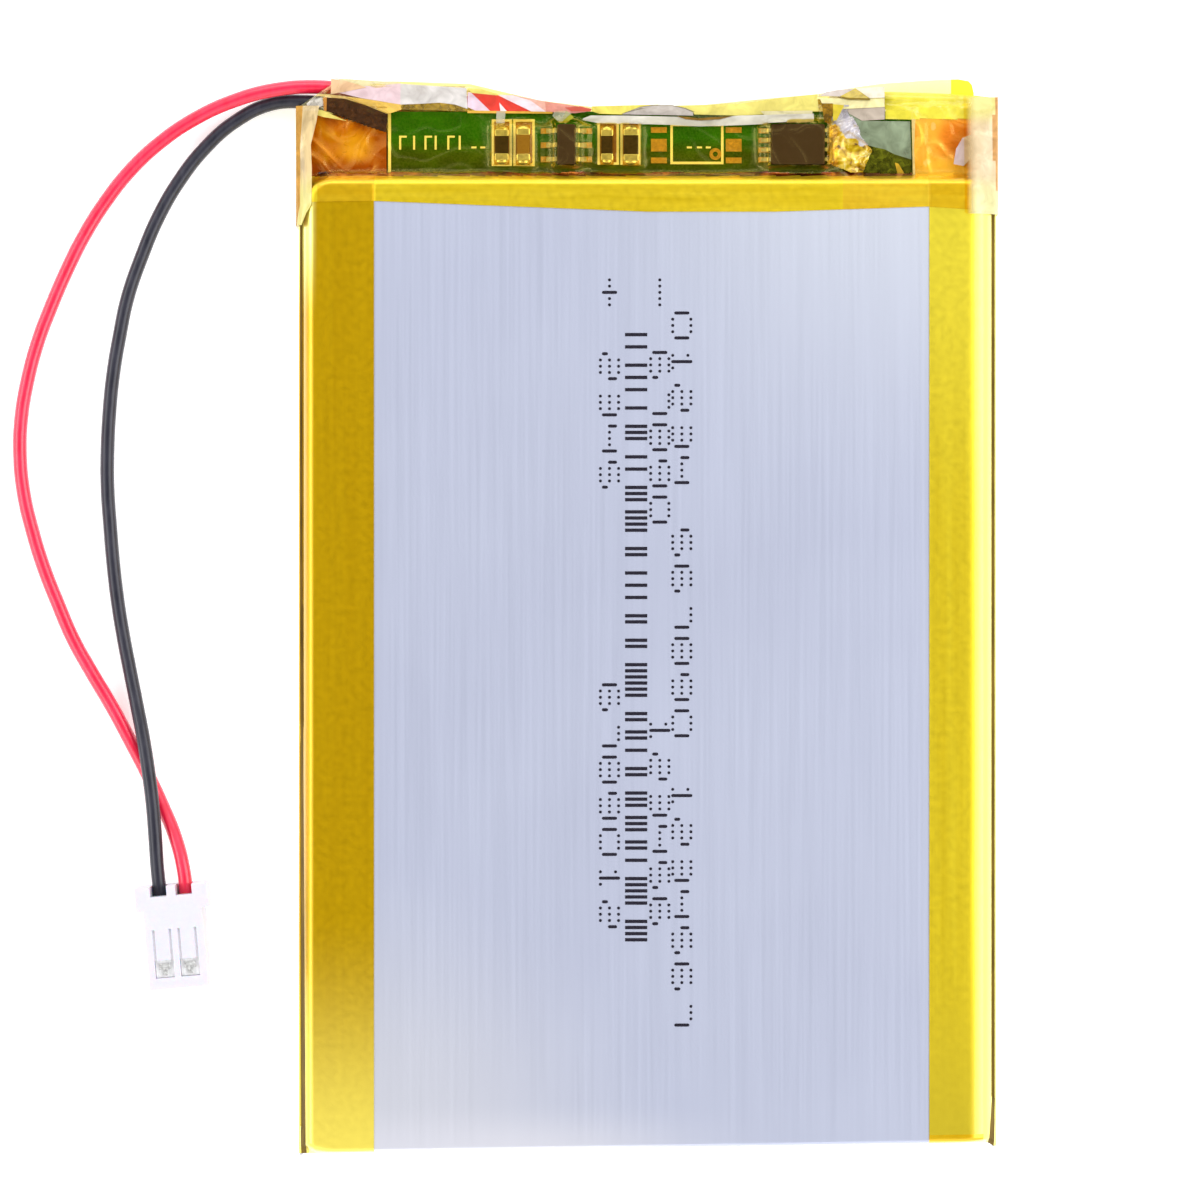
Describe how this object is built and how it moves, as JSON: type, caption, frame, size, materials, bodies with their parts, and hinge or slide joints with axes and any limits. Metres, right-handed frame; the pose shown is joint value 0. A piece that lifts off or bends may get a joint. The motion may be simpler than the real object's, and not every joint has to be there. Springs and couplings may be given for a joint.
{
  "type": "pouch battery cell",
  "caption": "Flat silver pouch cell with amber taped edges, a protection board under clear tape and a two-wire lead with a white plug.",
  "frame": {"origin": "on the resting plane, under the middle of the taped pack; the lead and its plug are left out", "axes": "+X to the right seen from the printed face, +Y towards the board end, +Z out of the printed face"},
  "size_m": [0.0778, 0.085, 0.005],
  "materials": {
    "laminate": "satin silver aluminium laminate",
    "cathode": "matt dark grey coating on foil",
    "anode": "matt graphite coating on copper foil",
    "separator": "white porous film",
    "green_tape": "pale green tape",
    "aluminium_tab": "bright foil",
    "nickel": "bright nickel strip",
    "tab_film": "milky sealing film",
    "insulator": "pale foam pad",
    "board_green": "glossy green solder mask",
    "gold": "gold plated pads",
    "chip_plastic": "moulded black resin",
    "resistor_body": "glazed black",
    "capacitor_body": "tan ceramic",
    "solder": "bright tin",
    "red_insulation": "smooth soft red",
    "black_insulation": "smooth soft black",
    "plug_plastic": "milky white nylon",
    "amber_tape": "glossy translucent amber tape"
  },
  "bodies": {
    "root": {"pouch_cup": "laminate", "pouch_cover": "laminate", "side_seal_left": "laminate", "side_seal_right": "laminate", "cathode_sheets": "cathode", "anode_sheets": "anode", "separator": "separator", "stack_tape": "green_tape", "positive_tab": "aluminium_tab", "negative_tab": "nickel", "positive_tab_film": "tab_film", "negative_tab_film": "tab_film", "positive_bridge": "nickel", "negative_bridge": "nickel", "board_insulator": "insulator", "circuit_board": "board_green", "board_pads": "gold", "protection_ic": "chip_plastic", "protection_ic_leads": "solder", "mosfet": "chip_plastic", "mosfet_leads": "solder", "resistor_r1": "resistor_body", "capacitor_c1": "capacitor_body", "resistor_r2": "resistor_body", "resistor_r3": "resistor_body", "component_end_caps": "solder", "solder_joints": "solder", "red_wire_core": "solder", "black_wire_core": "solder", "red_wire": "red_insulation", "black_wire": "black_insulation", "plug_housing": "plug_plastic", "plug_contact_red": "nickel", "plug_contact_black": "nickel", "side_tape_left": "amber_tape", "side_tape_right": "amber_tape", "top_wrap_tape": "amber_tape", "tape_tail": "amber_tape", "joint_patch_tape": "amber_tape"}
  },
  "joints": []
}
